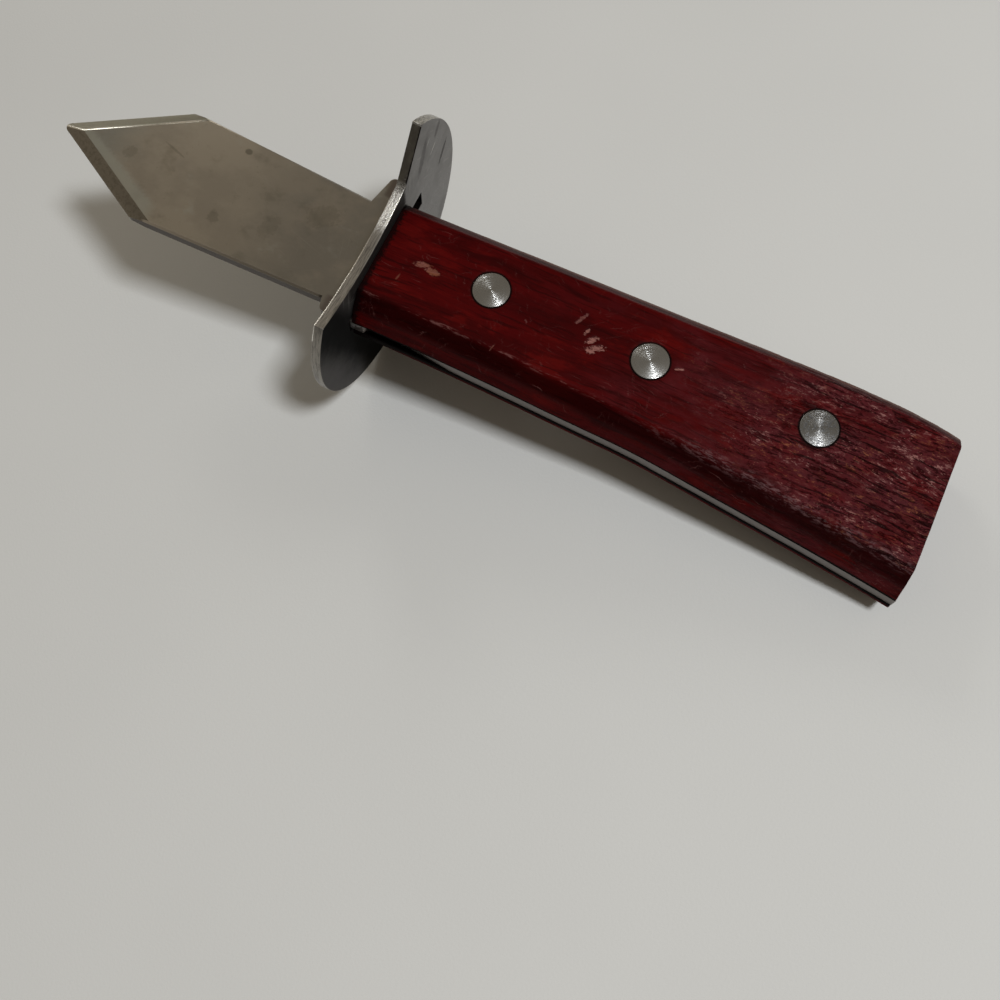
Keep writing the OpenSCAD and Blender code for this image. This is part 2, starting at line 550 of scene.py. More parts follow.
@dataclass(frozen=True)
class Scratches:
    """Fine straight scratches in one direction."""

    degrees: float
    length: float
    width: float
    amount: float
    shift: float
    depth: float = 0.3
    patch: float = 0.12
    line_ends: tuple[float, float] = (0.74, 0.86)
    patch_ends: tuple[float, float] = (0.45, 0.62)

    def mask(self, sheet: NodeSheet, place: Value) -> Value:
        """Where the scratches are, 0 to 1.

        Args:
            sheet: the material's node sheet.
            place: the vector that it reads.

        Returns:
            The mask.
        """
        turned = sheet.turned(place, self.degrees)
        stretch = (1 / self.length, 1 / self.width, self.depth)
        lines = sheet.noise(turned, stretch, 0.0, shift=(self.shift, self.shift, 0.0))
        patches = sheet.noise(place, (self.patch,) * 3, 1.0, shift=(0.0, self.shift, 0.0))
        return lines.step(*self.line_ends) * patches.step(*self.patch_ends) * self.amount


@dataclass(frozen=True)
class Mark:
    """A spot, chip or streak on a surface: an oval with a broken outline."""

    centre: tuple[float, float]
    length: float
    width: float
    degrees: float
    broken: float
    amount: float = 1.0
    half_depth: float = 1.6
    rim: tuple[float, float] = (1.05, 0.65)

    def mask(self, sheet: NodeSheet, place: Value, height: float, ragged: Value) -> Value:
        """Where the mark is, 0 to 1.

        Args:
            sheet: the material's node sheet.
            place: the vector that it reads.
            height: the height of its middle.
            ragged: noise that breaks the outline up.

        Returns:
            The mask.
        """
        moved = sheet.along(place, "SUBTRACT", (self.centre[0], self.centre[1], height))
        turned = sheet.turned(moved, -self.degrees)
        scaled = sheet.along(turned, "DIVIDE", (self.length / 2, self.width / 2, self.half_depth))
        away = sheet.length(scaled) + (ragged - 0.5) * self.broken
        return away.step(*self.rim) * self.amount


@dataclass(frozen=True)
class SatinSteel:
    """Rolled plate steel, satin, clouded, stained and lightly scratched, with two ground edges."""

    name: str
    scratches: tuple[Scratches, ...]
    stains: tuple[Mark, ...]
    base: Colour = (0.36, 0.32, 0.262)
    cloud: Colour = (0.3, 0.268, 0.222)
    root: Colour = (0.235, 0.216, 0.185)
    tip: Colour = (0.27, 0.262, 0.232)
    dark: Colour = (0.15, 0.135, 0.105)
    pale: Colour = (0.4, 0.407, 0.365)
    near_bevel: Colour = (0.3, 0.272, 0.228)
    far_bevel: Colour = (0.32, 0.312, 0.255)
    painted_glint: Colour = (0.97, 0.95, 0.88)
    ear: Colour = (0.15, 0.125, 0.11)
    rim: Colour = (0.6, 0.55, 0.48)
    side: Colour = (0.085, 0.07, 0.06)
    tang_side: Colour = (0.13, 0.11, 0.1)
    burr: Colour = (0.6, 0.57, 0.56)
    grime_and_shade: Colour = (0.01, 0.008, 0.008)
    roughness: float = 0.32

    def _faces(self, sheet: NodeSheet, place: Value, x: Value, y: Value) -> Value:
        """The colour of the flat faces.

        Args:
            sheet: the material's node sheet.
            place: the flat frame's vector.
            x: its X.
            y: its Y.

        Returns:
            The colour.
        """
        clouds = sheet.noise(place, (0.075, 0.1, 0.1), 4.0, 0.6)
        smudges = sheet.noise(place, (0.16, 0.2, 0.2), 5.0, 0.6, (7.0, 3.0, 1.0))
        specks = sheet.noise(place, (1.1, 1.1, 1.1), 2.0, 0.6, (2.0, 9.0, 4.0))
        wandering = x + (smudges - 0.5) * 16.0
        ear = x.step(-4.6, -3.6) * (y - 1.0).absolute().step(10.6, 11.4)
        return sheet.coats(
            self.base,
            (wandering.step(-46.0, -60.0), self.tip),
            # Painted shade: the face darkens towards the guard, standing in for the dark guard and
            # handle that it reflects there.
            (wandering.step(-34.0, -10.0), self.root),
            (clouds.step(0.44, 0.62) * 0.8, self.cloud),
            (smudges.step(0.54, 0.72) * 0.35, self.dark),
            (smudges.step(0.42, 0.26) * 0.3, self.pale),
            (specks.step(0.64, 0.8) * 0.25, self.dark),
            (ear * 0.8, self.ear),
        )

    def material(self) -> bpy.types.Material:
        """The finish as a material.

        Returns:
            The material.
        """
        sheet = NodeSheet.of_material(self.name)
        place = sheet.flat()
        x, y, z = sheet.parts(place)
        depth = z.absolute()
        fine = sheet.noise(place, (6.0, 6.0, 6.0), 2.0, 0.7)
        ragged = sheet.noise(place, (1.6, 1.6, 1.6), 3.0, 0.65, (3.0, 5.0, 2.0))
        near = POINT.inward(POINT.tip, POINT.near_shoulder, False, x, y)
        far = POINT.inward(POINT.tip, POINT.far_shoulder, True, x, y)
        low = POINT.inward(POINT.near_shoulder, POINT.near_root, False, x, y)
        high = POINT.inward(POINT.far_shoulder, POINT.far_root, True, x, y)

        # The two ground bevels, and the pale band beside the near one.
        width = POINT.bevel_width
        bevel, wall = (width + 0.05, width - 0.08), (0.02, 0.1)
        band = (near - (x + 66.0) * 0.05 + (ragged - 0.5) * 1.4).step(width + 1.9, width + 0.4)
        ground = near.step(*bevel) * low.step(*wall)
        whetted = far.step(*bevel) * high.step(*wall)
        brown = sheet.mix(ragged.step(0.45, 0.65) * 0.4, self.near_bevel, self.dark)
        streaked = sheet.mix(ragged.step(0.4, 0.65) * 0.5, self.far_bevel, self.cloud)

        # Painted highlight: the ridge of the far bevel and the one between the bevels at the tip
        # are coloured near white.
        ends = x.step(-54.0, -60.0).most(x.step(-50.0, -44.5))
        shine = (ragged.step(0.35, 0.55) * 0.4 + 0.6) * (ends * 0.65 + 0.35)
        ridge = (far - width + 0.1).absolute().step(0.34, 0.14)
        ridge = ridge * near.step(width - 0.5, width - 0.1) * x.step(-41.0, -43.0) * shine
        nose = (far - near).absolute().step(0.5, 0.2)
        nose = nose * far.step(width, width - 0.2) * x.step(-60.0, -61.0)
        painted_glint = ridge.most(nose)

        marks = sheet.strongest(scratch.mask(sheet, place) for scratch in self.scratches)
        stained = (
            (stain.mask(sheet, place, HANDLE.plate_half, ragged), self.dark)
            for stain in self.stains
        )
        colour = sheet.coats(
            self._faces(sheet, place, x, y),
            (band * x.step(-40.0, -43.0) * 0.6, self.pale),
            (ground * (near - far).step(0.1, -0.1), brown),
            (whetted * (far - near).step(0.1, -0.1), streaked),
            (painted_glint, self.painted_glint),
            (marks, self.pale),
            *stained,
        )

        # The broken near edge, painted pale as painted light over the dark reflection of its
        # chamfer; the upright sides and the tang's edge, painted dark as painted shade; and the
        # burr where the tang leaves the guard.
        edge = low.step(POINT.edge_break + 0.05, POINT.edge_break - 0.02) * x.step(-5.2, -5.8)
        edge = edge * x.step(-42.4, -41.4) * depth.step(0.9, 1.05)
        # Painted shade: the upright sides and the tang's edge are coloured dark and made duller,
        # for the shaded table that they reflect.
        upright = depth.step(1.04, 0.98) * x.step(-45.0, -44.0) * (1.0 - ground.most(whetted))
        curl = (z - x + 3.3).step(0.0, 0.4) * x.step(1.7, 1.9) * x.step(4.9, 4.5)
        side = sheet.coats(
            self.side,
            (x.step(0.0, 2.0), self.tang_side),
            (fine.step(0.4, 0.7) * 0.3, self.dark),
            (curl * ragged.step(0.35, 0.5), self.burr),
        )
        # Painted shade: the plate in the guard's slot on the far side is coloured near black, as
        # the shadow in the gap.
        hidden = x.step(-0.4, 0.1) * x.step(2.6, 2.3) * y.step(8.0, 9.0)
        colour = sheet.coats(colour, (edge, self.rim), (upright, side), (hidden, self.grime_and_shade))

        dull = upright * x.step(0.0, -1.0)
        rough = fine * 0.1 + (self.roughness - 0.05) - marks * 0.08 - painted_glint * 0.1 + dull * 0.25
        height = fine * 0.004 + ragged * 0.012 - marks * 0.006
        return sheet.finish(
            Base_Color=colour, Metallic=1.0 - dull * 0.6, Roughness=rough, Normal=sheet.bump(height)
        )


@dataclass(frozen=True)
class ShearedSteel:
    """Rolled sheet with dull scratched faces and bright, torn sheared edges."""

    name: str
    scratches: tuple[Scratches, ...]
    face: Colour = (0.11, 0.102, 0.098)
    stain: Colour = (0.07, 0.063, 0.06)
    streak: Colour = (0.03, 0.026, 0.025)
    shaded: Colour = (0.105, 0.099, 0.096)
    shadow_black: Colour = (0.003, 0.003, 0.003)
    edge: Colour = (0.3, 0.28, 0.25)
    olive: Colour = (0.2, 0.185, 0.155)
    grime_and_shade: Colour = (0.012, 0.01, 0.009)
    bright: Colour = (0.9, 0.88, 0.82)
    thickness: float = 1.8
    corner: float = 10.2
    face_roughness: float = 0.28
    edge_roughness: float = 0.34
    streaks: tuple[Mark, ...] = (
        Mark((24.0, 2.8), 5.8, 1.2, 49.0, 1.6, 0.6),
        Mark((22.6, 12.2), 4.4, 1.4, 49.0, 1.6, 0.35),
        Mark((16.6, 11.0), 9.0, 2.2, 62.0, 1.8, 0.3),
    )
    gashes: tuple[Mark, ...] = (
        Mark((20.6, 8.7), 3.2, 0.14, 31.0, 0.6, 0.8),
        Mark((19.0, 12.6), 2.0, 0.12, 38.0, 0.6, 0.5),
        Mark((18.4, 5.2), 1.6, 0.12, 20.0, 0.6, 0.4),
    )

    def material(self) -> bpy.types.Material:
        """The finish as a material.

        Returns:
            The material.
        """
        sheet = NodeSheet.of_material(self.name)
        disc = {
            "Vector": sheet.flat(),
            "Location": (REST.guard_front, 0.0, 0.0),
            "Rotation": (0.0, REST.guard_lean, 0.0),
        }
        place = sheet.node("ShaderNodeMapping", {"vector_type": "TEXTURE"}, disc)
        x, y, z = sheet.parts(place)
        half = self.thickness / 2
        clouds = sheet.noise(place, (0.3, 0.12, 0.12), 4.0, 0.62)
        fine = sheet.noise(place, (7.0, 7.0, 7.0), 2.0, 0.7)
        drawn = sheet.noise(place, (4.5, 0.35, 0.35), 3.0, 0.7)
        torn = sheet.noise(place, (2.6, 3.0, 3.0), 3.0, 0.75, (4.0, 4.0, 0.0))

        # The flat faces, with painted shade on the back one beside and above the handle: darker
        # over the near lobe, and near black against the handle and in a strip under the wood.
        flat_place = sheet.vector(y, z, x)
        soiled, gashed = (
            sheet.strongest(mark.mask(sheet, flat_place, self.thickness, torn) for mark in marks)
            for marks in (self.streaks, self.gashes)
        )
        marks = sheet.strongest(scratch.mask(sheet, flat_place) for scratch in self.scratches)
        marks = marks.most(gashed)
        down = y + z * 0.4 + (clouds - 0.5) * 5.0
        back_face = x.step(half, half + 0.2)
        in_painted_shadow = down.step(-6.0, -13.0) * down.step(-24.0, -17.0) * back_face
        # Painted shade: a dark strip on the back face where it faces the shaded gap against the
        # wood.
        above = (y + 1.0 + (torn - 0.5)).absolute().step(11.0, 10.0) * z.step(6.8, 7.2) * back_face
        colour = sheet.coats(
            self.face,
            (clouds.step(0.42, 0.66) * 0.7, self.stain),
            (soiled, self.streak),
            (marks, self.bright),
            (down.step(-15.0, -22.0) * back_face, self.shaded),
            (in_painted_shadow, self.shadow_black),
            (above * 0.95, self.grime_and_shade),
        )

        # The edges: the drawn rim, the torn upper cut and the steep brown end of the cut, with
        # painted highlights and painted shade lines.
        edge = (x - half).absolute().step(half - 0.01, half - 0.06)
        reach = sheet.length(sheet.vector(0.0, y - REST.guard_shift, z + REST.guard_drop))
        round_rim = reach.step(REST.guard_radius - 0.5, REST.guard_radius - 0.2)
        upper = z.step(9.0, 9.3)
        rough_part = (y + (torn - 0.5) * 3.0).step(0.0, 4.0) * upper
        steep = y.step(self.corner - 0.2, self.corner + 0.6) * z.step(10.0, 11.0)
        steep = steep * (1.0 - round_rim)
        pitted = torn.step(0.36, 0.62) * (clouds.step(0.35, 0.6) * 0.6 + 0.4)
        # The steep end carries a thin painted shadow line along its handle-side arris.
        brown = sheet.coats(
            self.olive,
            (clouds.step(0.4, 0.6) * 0.5, self.stain),
            ((x + (clouds - 0.5) * 0.6).step(1.55, 1.68), self.grime_and_shade),
        )
        # Painted highlight: bright lines along the front and the back of the upper cut.
        front = x.step(0.26, 0.16) * y.step(2.0, -4.0)
        back = (x + (torn - 0.5) * 0.4).step(1.5, 1.62) * (y - 6.0).absolute().step(4.0, 2.0)
        painted_glint = front.most(back) * upper
        cut = sheet.coats(
            self.edge,
            (drawn.step(0.45, 0.65) * 0.6, self.stain),
            (drawn.step(0.36, 0.26) * 0.5, self.bright),
            (rough_part * 0.75, sheet.mix(pitted, self.bright, self.stain)),
            (steep, brown),
            (painted_glint, self.bright),
            # Painted shade: the cut is near black along the slot.
            (z.absolute().step(3.2, 3.0) * reach.step(20.0, 19.0), self.grime_and_shade),
        )
        colour = sheet.mix(edge, colour, cut)

        flat_part = 1.0 - edge
        matt = (down.step(-5.0, -10.0) * back_face).most(above).most(soiled) * flat_part
        rough = edge * (self.edge_roughness - self.face_roughness) + fine * 0.1
        rough = rough + clouds.step(0.4, 0.7) * 0.06 + (self.face_roughness - 0.05)
        rough = rough - painted_glint * 0.1 + matt * 0.4
        metal = 1.0 - above.most(in_painted_shadow * 0.6).most(soiled * 0.5) * flat_part
        height = fine * 0.004 + clouds * 0.03 - marks * 0.006
        height = height + edge * (drawn * 0.03 + torn * rough_part * 0.12)
        return sheet.finish(
            Base_Color=colour, Metallic=metal, Roughness=rough, Normal=sheet.bump(height),
            Specular_IOR_Level=0.1,
        )


@dataclass(frozen=True)
class TurnedFace:
    """Metal faced on a lathe: fine rings whose light runs in a bow tie."""

    name: str
    centre: tuple[float, float]
    lean: tuple[float, float]
    worn: float
    base: Colour = (0.31, 0.305, 0.295)
    dark: Colour = (0.09, 0.09, 0.093)
    ring_pitch: float = 0.02
    ring_tilt: float = 1.15
    roughness: float = 0.27
    worn_shade: float = 0.42

    def material(self) -> bpy.types.Material:
        """The finish as a material.

        Returns:
            The material.
        """
        sheet = NodeSheet.of_material(self.name)
        place = sheet.flat()
        spot = sheet.along(place, "SUBTRACT", (self.centre[0], self.centre[1], 0.0))
        radial = sheet.along(spot, "MULTIPLY", (1.0, 1.0, 0.0))
        rings = {"W": sheet.length(radial) / self.ring_pitch, "Scale": 1.0, "Detail": 0.0}
        ring = sheet.node("ShaderNodeTexNoise", {"noise_dimensions": "1D"}, rings)
        pits = sheet.noise(place, (2.2, 2.2, 2.2), 3.0, 0.7, (self.centre[0], 0.0, 0.0))
        tilt = (ring - 0.5) * self.ring_tilt
        outward = sheet.along(radial, "NORMALIZE", (0.0, 0.0, 0.0))
        turn = Matrix.Rotation(REST.angle, 3, "Y")
        x, y, _ = sheet.parts(outward)
        x = x * tilt + self.lean[0]
        y = y * tilt + self.lean[1]
        lean = sheet.vector(x * turn[0][0], y, x * turn[2][0])
        normal = sheet.node("ShaderNodeNewGeometry", output="Normal")
        leaning = sheet.along(sheet.along(normal, "ADD", lean), "NORMALIZE", (0.0, 0.0, 0.0))
        worn = pits.step(0.46, 0.62) * self.worn
        dulled = tuple(part * (1.0 - self.worn_shade * self.worn) for part in self.base)
        colour = sheet.mix(worn, dulled, self.dark)
        height = pits.step(0.45, 0.7) * (-0.012 * self.worn)
        return sheet.finish(
            Base_Color=colour, Metallic=1.0, Roughness=worn * 0.15 + self.roughness,
            Normal=sheet.bump(height, leaning),
        )


@dataclass(frozen=True)
class StainedWood:
    """Hard wood stained deep red, smooth by the guard and rough and open towards the butt."""

    name: str
    chips: tuple[Mark, ...]
    seam_grime_and_shade: bool
    red: Colour = (0.05, 0.0009, 0.0011)
    dark: Colour = (0.016, 0.0005, 0.0006)
    glow: Colour = (0.083, 0.0024, 0.0019)
    purple_tone_and_sheen: Colour = (0.062, 0.0062, 0.0078)
    weathered: Colour = (0.08, 0.017, 0.021)
    pale: Colour = (0.3, 0.14, 0.125)
    orange: Colour = (0.23, 0.075, 0.035)
    raw: Colour = (0.15, 0.05, 0.026)
    bare: Colour = (0.17, 0.065, 0.05)
    arris_highlight: Colour = (0.12, 0.06, 0.062)
    far_edge_sheen: Colour = (0.13, 0.066, 0.052)
    # Near black: the painted shade of the slopes, and the dark cracks towards the butt.
    shade: Colour = (0.006, 0.0003, 0.0003)
    grime_and_shade: Colour = (0.002, 0.001, 0.001)
    rough_from: float = 58.0
    rough_to: float = 92.0
    scratches: tuple[Scratches, ...] = (
        Scratches(62.0, 2.4, 0.14, 0.3, 3.0),
        Scratches(-38.0, 3.6, 0.14, 0.25, 6.0),
        Scratches(12.0, 4.0, 0.16, 0.35, 9.0),
    )

    def _grown(self, sheet: NodeSheet, place: Value, grain: Value, hazy_sheen: Value) -> Value:
        """The stained wood's colour: bands, streaks and pores, and purple patches that are partly
        its tone and partly painted sheen.

        Args:
            sheet: the material's node sheet.
            place: the flat frame's vector.
            grain: the vector that follows the grain.
            hazy_sheen: where the wood is more purple, partly as painted sheen, 0 to 1.

        Returns:
            The colour.
        """
        bands = sheet.noise(grain, (0.02, 0.36, 0.36), 3.0, 0.6)
        mottle = sheet.noise(place, (0.09, 0.22, 0.22), 4.0, 0.62, (2.0, 5.0, 8.0))
        streaks = sheet.noise(grain, (0.09, 1.3, 1.3), 4.0, 0.68, (5.0, 1.0, 0.0))
        pores = sheet.noise(grain, (0.14, 3.2, 3.2), 2.0, 0.6, (1.0, 8.0, 3.0))
        return sheet.coats(
            self.red,
            (bands.step(0.42, 0.62) * 0.5, self.dark),
            (mottle.step(0.46, 0.34) * 0.6, self.glow),
            # Purple patches, partly the wood's tone and partly painted sheen.
            (hazy_sheen * mottle.step(0.4, 0.56) * 0.85, self.purple_tone_and_sheen),
            (mottle.step(0.54, 0.66) * 0.5, self.dark),
            (streaks.step(0.52, 0.66) * 0.75, self.dark),
            (streaks.step(0.42, 0.3) * 0.45, self.glow),
            (pores.step(0.6, 0.7) * 0.7, self.dark),
        )

    def _torn(self, sheet: NodeSheet, grain: Value, place: Value, colour: Value,
              butt: Value) -> tuple[Value, Value]:
        """The open, torn surface towards the butt.

        Args:
            sheet: the material's node sheet.
            grain: the vector that follows the grain.
            place: the flat frame's vector.
            colour: the colour so far.
            butt: how torn the wood is, 0 to 1.

        Returns:
            The new colour, and the surface's height in millimetres.
        """
        coarse = sheet.noise(grain, (0.6, 1.7, 1.7), 4.0, 0.75, (4.0, 2.0, 6.0))
        crumbs = sheet.noise(place, (1.5, 2.4, 2.4), 2.0, 0.6, (6.0, 1.0, 2.0))
        spread = sheet.noise(place, (0.13, 0.22, 0.22), 2.0, 0.6, (1.0, 6.0, 3.0))
        cracks = sheet.noise(grain, (0.13, 1.5, 1.5), 3.0, 0.65, (7.0, 7.0, 0.0))
        tint = sheet.noise(place, (0.2, 0.3, 0.3), 2.0, 0.5, (3.0, 3.0, 9.0))
        where = spread.step(0.38, 0.58)
        lines = cracks.step(0.55, 0.63) * butt
        pits = coarse.step(0.55, 0.64) * butt
        # Pale flecks and dots: partly the torn fibres' own colour, partly painted highlights for
        # the glints of the rough surface.
        pale_flecks_and_glints = coarse.step(0.46, 0.34) * butt * (where * 0.8 + 0.2)
        dots = crumbs.step(0.62, 0.72) * butt * (where * 0.85 + 0.15)
        fleck_and_glint_colour = sheet.mix(tint.step(0.42, 0.58), self.orange, self.pale)
        colour = sheet.coats(
            colour,
            (butt * (where * 0.3 + 0.1), self.weathered),
            (pits * 0.75, self.dark),
            (pale_flecks_and_glints * 0.7, fleck_and_glint_colour),
            (dots * 0.85, fleck_and_glint_colour),
            (lines * 0.85, self.shade),
        )
        return colour, pale_flecks_and_glints * 0.05 + dots * 0.05 - pits * 0.12 - lines * 0.16

    def material(self) -> bpy.types.Material:
        """The finish as a material.

        Returns:
            The material.
        """
        sheet = NodeSheet.of_material(self.name)
        place = sheet.flat()
        x, y, z = sheet.parts(place)
        wander = sheet.noise(place, (0.05, 0.1, 0.1), 3.0, 0.5, (3.0, 0.0, 0.0)) - 0.5
        grain = sheet.vector(x, y + wander * 3.4, z)
        fibre = sheet.noise(grain, (0.35, 7.0, 7.0), 2.0, 0.6)
        ragged = sheet.noise(place, (1.5, 2.2, 2.2), 3.0, 0.7, (8.0, 8.0, 1.0))
        patches = sheet.noise(place, (0.06, 0.1, 0.1), 3.0, 0.6, (9.0, 2.0, 5.0)) - 0.5
        rubs = sheet.noise(grain, (0.16, 1.1, 1.1), 3.0, 0.7, (2.0, 4.0, 7.0))
        scuffs = sheet.noise(grain, (0.5, 2.0, 2.0), 4.0, 0.75, (5.0, 9.0, 1.0))
        share = (x / HANDLE.reach).most(0.0)
        inside = y + HANDLE.near_root + share ** HANDLE.near_curve * HANDLE.near_flare
        outside = share * HANDLE.far_rise + HANDLE.far_root - y
        outside = outside - share ** HANDLE.far_curve * HANDLE.far_turn
        height = z.absolute()
        top = height.step(6.4, 7.1)

        # The wood, torn towards the butt, and the masks of its slopes and of the painted sheen on
        # its far edge.
        colour = self._grown(sheet, place, grain, (x + patches * 80.0).step(34.0, 78.0))
        butt = (x + patches * 50.0).step(self.rough_from, self.rough_to) * (top * 0.85 + 0.15)
        colour, relief = self._torn(sheet, grain, place, colour, butt)
        slope = inside.step(HANDLE.slope_width + 0.5, HANDLE.slope_width - 0.9)
        beyond = outside.step(HANDLE.slope_width + 0.2, HANDLE.slope_width - 0.6)
        outer = outside.step(2.9, 1.9) * x.step(-4.0, 30.0) * (ragged * 0.5 + 0.5)

        # The wear along the near edge of the flat face, and a painted highlight in patches along it
        # towards the butt (the mask named worn).
        arris = (inside - HANDLE.slope_width).absolute()
        line = arris.step(0.45, 0.1) * rubs.step(0.5, 0.4) * scuffs.step(0.58, 0.44)
        worn = arris.step(1.7, 0.3) * scuffs.step(0.5, 0.4) * (x + patches * 50.0).step(50.0, 80.0)

        # Scratches and chips.
        rubbed = sheet.along(place, "ADD", sheet.vector(ragged * 1.6, wander * 9.0, 0.0))
        marks = sheet.strongest(scratch.mask(sheet, rubbed) for scratch in self.scratches)
        chipped = sheet.strongest(
            chip.mask(sheet, place, HANDLE.half_thickness, ragged) for chip in self.chips
        )
        bared = sheet.coats(
            self.raw, (rubs.step(0.42, 0.6), self.bare), (x.step(30.0, 36.0) * 0.6, self.pale)
        )
        colour = sheet.coats(
            colour,
            # Painted shade on the upper near slope and the far slope, and painted sheen along the
            # far edge.
            (slope * height.step(3.2, 5.4) * 0.8, self.shade),
            (beyond * height.step(7.2, 6.2) * 0.5, self.shade),
            (outer, self.far_edge_sheen),
            (line * x.step(70.0, 30.0) * top * 0.3, self.pale),
            # Painted highlight: purple-grey patches along the near arris towards the butt.
            (worn * height.step(5.6, 6.9) * 0.75, self.arris_highlight),
            (marks * 0.55, self.pale),
            (chipped * (fibre.step(0.35, 0.55) * 0.55 + 0.45), bared),
        )

        # Grime and painted shade: near black round the rivets, in the seam beside the tang and
        # against the guard, where the gaps lie in shadow.
        level = sheet.along(place, "MULTIPLY", (1.0, 1.0, 0.0))
        for spot in RIVET_SPOTS:
            away = sheet.length(sheet.along(level, "SUBTRACT", (*spot, 0.0))) + (ragged - 0.5) * 0.3
            colour = sheet.mix(away.step(3.72, 3.48) * 0.85, colour, self.grime_and_shade)
        seam = (height - x.step(55.0, 95.0) * 0.15 + (ragged - 0.5) * 0.4).step(1.75, 1.55)
        if self.seam_grime_and_shade:
            packed = height - x.step(14.0, 4.0) * 0.5 + (ragged - 0.5) * 0.3
            seam = seam.most(packed.step(1.9, 1.7))
        front = (x - HANDLE.start + (ragged - 0.5) * 3.0).step(1.5, 0.5)
        colour = sheet.mix(seam.most(front * 0.9), colour, self.grime_and_shade)

        rough = butt * 0.16 + fibre * 0.12 + chipped * 0.3 + 0.32
        relief = relief + fibre * 0.02 - chipped * 0.06 - marks * 0.02
        return sheet.finish(
            Base_Color=colour, Roughness=rough, Normal=sheet.bump(relief), Specular_IOR_Level=0.04
        )


class Workshop:
    """Edit-mode work that the pieces share."""

    WELD = 0.002 * MM
    SPECK = 0.001 * MM

    @staticmethod
    def alone(piece: bpy.types.Object) -> None:
        """Deselects everything and makes the piece active.

        Args:
            piece: the object.
        """
        if bpy.context.object is not None and bpy.context.object.mode != "OBJECT":
            bpy.ops.object.mode_set(mode="OBJECT")
        bpy.ops.object.select_all(action="DESELECT")
        bpy.context.view_layer.objects.active = piece
        piece.select_set(True)

    @staticmethod
    def flat_copy(node: str, name: str) -> bpy.types.Object:
        """A merged copy of a CAD node, laid in the flat frame in metres.

        Args:
            node: the CAD node's name.
            name: the new piece's name.

        Returns:
            The new object.
        """
        piece = bpy.data.objects.new(name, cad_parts[node].data.copy())
        bpy.context.scene.collection.objects.link(piece)
        piece.data.materials.clear()
        piece.data.transform(REST.matrix.inverted())
        Workshop.alone(piece)
        bpy.ops.object.mode_set(mode="EDIT")
        bpy.ops.mesh.select_all(action="SELECT")
        bpy.ops.mesh.remove_doubles(threshold=Workshop.WELD)
        bpy.ops.mesh.dissolve_limited(angle_limit=math.radians(0.4))
        bpy.ops.mesh.normals_make_consistent(inside=False)
        bpy.ops.object.mode_set(mode="OBJECT")
        return piece

    @staticmethod
    def pick_edges(piece: bpy.types.Object, wanted: Callable[[bmesh.types.BMEdge], bool]) -> None:
        """Selects the edges that the test accepts, in edit mode.

        Args:
            piece: the object in edit mode.
            wanted: the test.
        """
        bpy.ops.mesh.select_mode(type="EDGE")
        bpy.ops.mesh.select_all(action="DESELECT")
        mesh = bmesh.from_edit_mesh(piece.data)
        for edge in mesh.edges:
            if wanted(edge):
                edge.select_set(True)
        bmesh.update_edit_mesh(piece.data)

    @staticmethod
    def round_edges(piece: bpy.types.Object, width: float, segments: int, sharper: float,
                    wanted: Callable[[Vector], bool]) -> None:
        """Rounds the sharp edges of a piece.

        Args:
            piece: the object, in object mode.
            width: the rounding's width in millimetres.
            segments: how many faces go across it.
            sharper: the least angle of an edge that is rounded, in degrees.
            wanted: accepts an edge's middle, in millimetres of the flat frame.
        """
        Workshop.alone(piece)
        bpy.ops.object.mode_set(mode="EDIT")
        limit = math.radians(sharper)

        def sharp(edge: bmesh.types.BMEdge) -> bool:
            """True for a sharp edge at a wanted place."""
            if len(edge.link_faces) != 2:
                return False
            middle = (edge.verts[0].co + edge.verts[1].co) / 2 / MM
            return edge.calc_face_angle(0.0) > limit and wanted(middle)

        Workshop.pick_edges(piece, sharp)
        bpy.ops.mesh.bevel(offset=width * MM, segments=segments, affect="EDGES", clamp_overlap=True)
        bpy.ops.object.mode_set(mode="OBJECT")

    @staticmethod
    def cylinder(spot: tuple[float, float], middle: float, radius: float, depth: float,
                 sides: int) -> bpy.types.Object:
        """Adds an upright cylinder, with its place in its mesh.

        Args:
            spot: the X and Y of its axis, in millimetres.
            middle: the Z of its middle.
            radius: its radius.
            depth: its height.
            sides: the number of its side faces.

        Returns:
            The new object.
        """
        bpy.ops.object.select_all(action="DESELECT")
        bpy.ops.mesh.primitive_cylinder_add(
            vertices=sides, radius=radius * MM, depth=depth * MM,
            location=(spot[0] * MM, spot[1] * MM, middle * MM),
        )
        bpy.ops.object.transform_apply(location=True, rotation=True, scale=True)
        return bpy.context.object

    @staticmethod
    def pick_end(piece: bpy.types.Object, up: float) -> None:
        """Selects the outermost face that looks up or down, in edit mode.

        Args:
            piece: the object in edit mode.
            up: 1 for the top face, -1 for the bottom one.
        """
        bpy.ops.mesh.select_mode(type="FACE")
        bpy.ops.mesh.select_all(action="DESELECT")
        mesh = bmesh.from_edit_mesh(piece.data)
        ends = [face for face in mesh.faces if face.normal.z * up > 0.9]
        max(ends, key=lambda face: face.calc_center_median().z * up).select_set(True)
        bmesh.update_edit_mesh(piece.data)

    @staticmethod
    def inset(width: float) -> None:
        """Insets the selected faces by a width in millimetres."""
        bpy.ops.mesh.inset(thickness=width * MM)

    @staticmethod
    def extrude(rise: float) -> None:
        """Extrudes the selected faces upwards by a length in millimetres."""
        bpy.ops.mesh.extrude_region_move(TRANSFORM_OT_translate={"value": (0.0, 0.0, rise * MM)})

    @staticmethod
    def apply(piece: bpy.types.Object, kind: str, **settings: object) -> None:
        """Adds one modifier and applies it.

        Args:
            piece: the object.
            kind: the modifier's type.
            settings: its settings, by name.
        """
        Workshop.alone(piece)
        made = piece.modifiers.new(kind.title(), kind)
        for name, value in settings.items():
            setattr(made, name, value)
        bpy.ops.object.modifier_apply(modifier=made.name)

